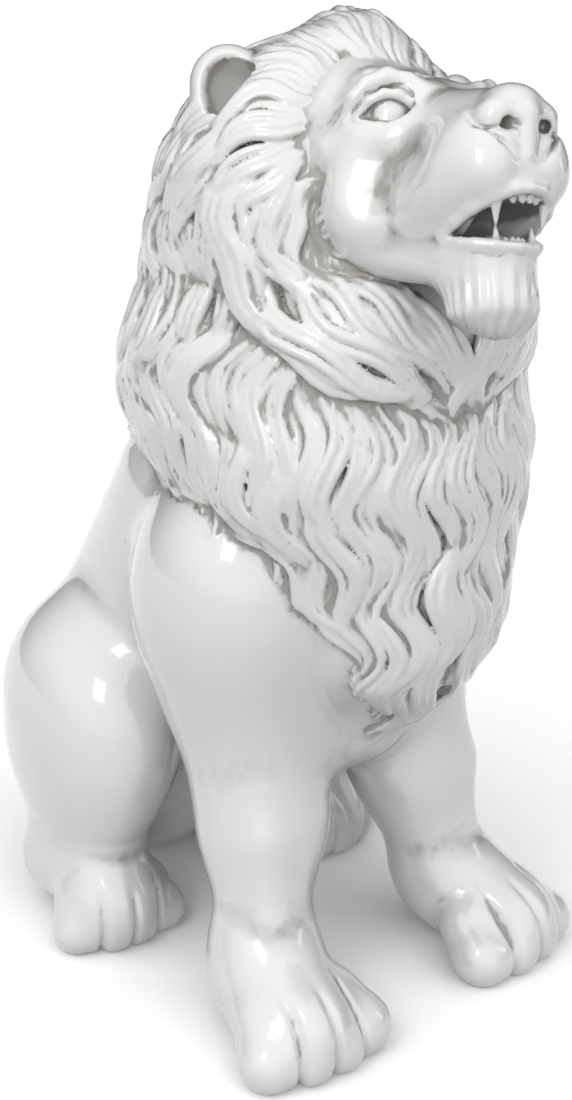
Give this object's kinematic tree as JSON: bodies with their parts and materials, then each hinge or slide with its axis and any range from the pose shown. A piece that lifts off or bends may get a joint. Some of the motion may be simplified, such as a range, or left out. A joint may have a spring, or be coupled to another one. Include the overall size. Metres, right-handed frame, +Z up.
{
  "type": "seated lion statue",
  "caption": "Seated lion garden statue with an open mouth and a full mane, cast in one piece and lacquered gloss white; stands on its paws and rump.",
  "frame": {"origin": "centre of the bounding box, at ground level", "axes": "+Z up, the lion looks along -Y, its left side is +X"},
  "size_m": [0.6516, 1.0228, 1.3865],
  "materials": {
    "gloss_white": "high-gloss white lacquer over cast resin"
  },
  "bodies": {
    "root": {"lion": "gloss_white"}
  },
  "joints": []
}
